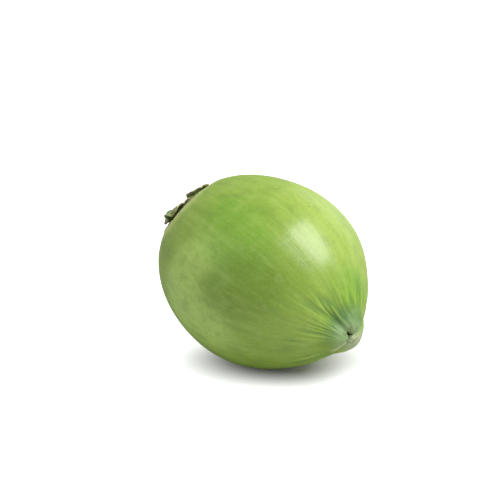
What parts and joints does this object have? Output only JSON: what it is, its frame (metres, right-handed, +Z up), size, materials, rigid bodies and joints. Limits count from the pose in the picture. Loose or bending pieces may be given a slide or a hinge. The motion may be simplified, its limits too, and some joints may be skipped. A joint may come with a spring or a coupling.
{
  "type": "green coconut",
  "caption": "Whole young coconut in its smooth green husk, lying on its side, with a leathery calyx of overlapping bracts at one end and a lobed tip at the other.",
  "frame": {"origin": "centre of the fruit's bounding box, at the surface that it lies on", "axes": "+X along the fruit from the calyx end to the tip, +Z up, so that the fruit lies on its side with its tip dipped"},
  "size_m": [0.1788, 0.1408, 0.1383],
  "materials": {
    "green_skin": "satin",
    "inner_bract": "satin",
    "outer_bract": "satin",
    "torn_stalk": "matte"
  },
  "bodies": {
    "root": {"husk": "green_skin", "inner_bract_1": "inner_bract", "inner_bract_2": "inner_bract", "inner_bract_3": "inner_bract", "outer_bract_1": "outer_bract", "outer_bract_2": "outer_bract", "outer_bract_3": "outer_bract", "stalk_stub": "torn_stalk"}
  },
  "joints": []
}
